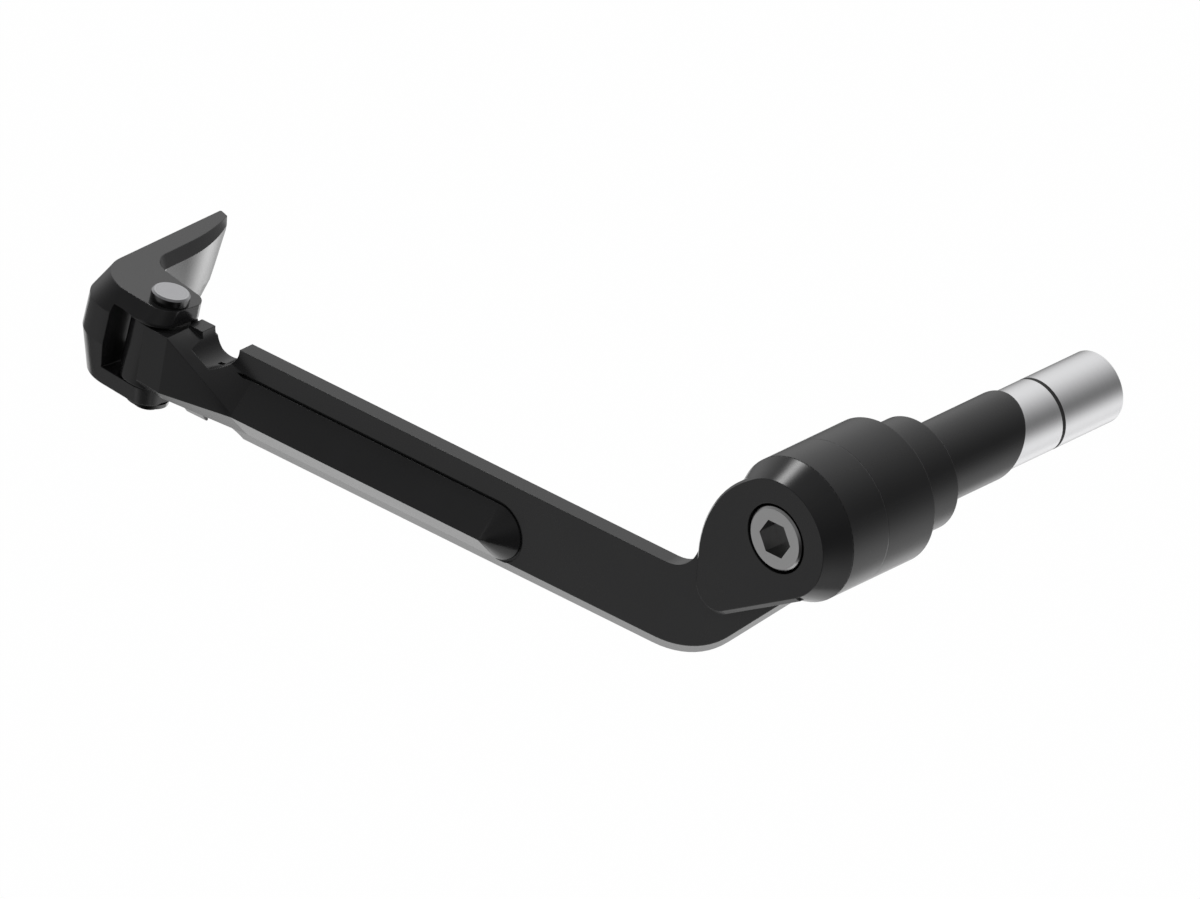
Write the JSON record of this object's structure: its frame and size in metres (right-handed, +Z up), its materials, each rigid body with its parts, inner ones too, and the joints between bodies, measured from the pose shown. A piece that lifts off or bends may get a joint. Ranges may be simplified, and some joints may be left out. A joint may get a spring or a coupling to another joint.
{
  "type": "clutch lever guard",
  "caption": "Machined lever guard: bar-end expander, bent arm with a raised ridge and a hinged winglet tip that shields the end of a motorbike's hand lever.",
  "frame": {"origin": "on the handlebar's axis, at the shoulder that meets the end of the handlebar tube", "axes": "+X along the bar towards the rider's grip, +Y forward along the arm to the tip, +Z up"},
  "size_m": [0.096, 0.1905, 0.0527],
  "materials": {
    "weight_black": "satin black anodised",
    "ring_black": "satin black anodised",
    "sleeve_black": "satin black anodised",
    "wedge_metal": "turned, zinc plated",
    "seal_rubber": "matt",
    "bolt_steel": "satin",
    "arm_black": "satin black anodised",
    "tip_black": "satin black anodised",
    "pin_steel": "turned",
    "bush_brass": "plain",
    "washer_plastic": "matt",
    "clip_steel": "plain"
  },
  "bodies": {
    "arm": {"guard_arm": "arm_black", "spacer_ring": "ring_black", "bar_end_weight": "weight_black", "expander_sleeve": "sleeve_black", "expander_wedge": "wedge_metal", "expander_seal": "seal_rubber", "main_bolt": "bolt_steel", "pivot_bush": "bush_brass", "pivot_washer_upper": "washer_plastic", "pivot_washer_lower": "washer_plastic"},
    "tip": {"guard_tip": "tip_black", "pivot_pin": "pin_steel", "pivot_clip": "clip_steel"}
  },
  "joints": [
    {"name": "tip_hinge", "type": "hinge", "parent": "arm", "child": "tip", "pos_m": [-0.0365, 0.1552, -0.0147], "axis": [0.1077, -0.0785, 0.9911], "range_deg": [-10, 35]}
  ]
}
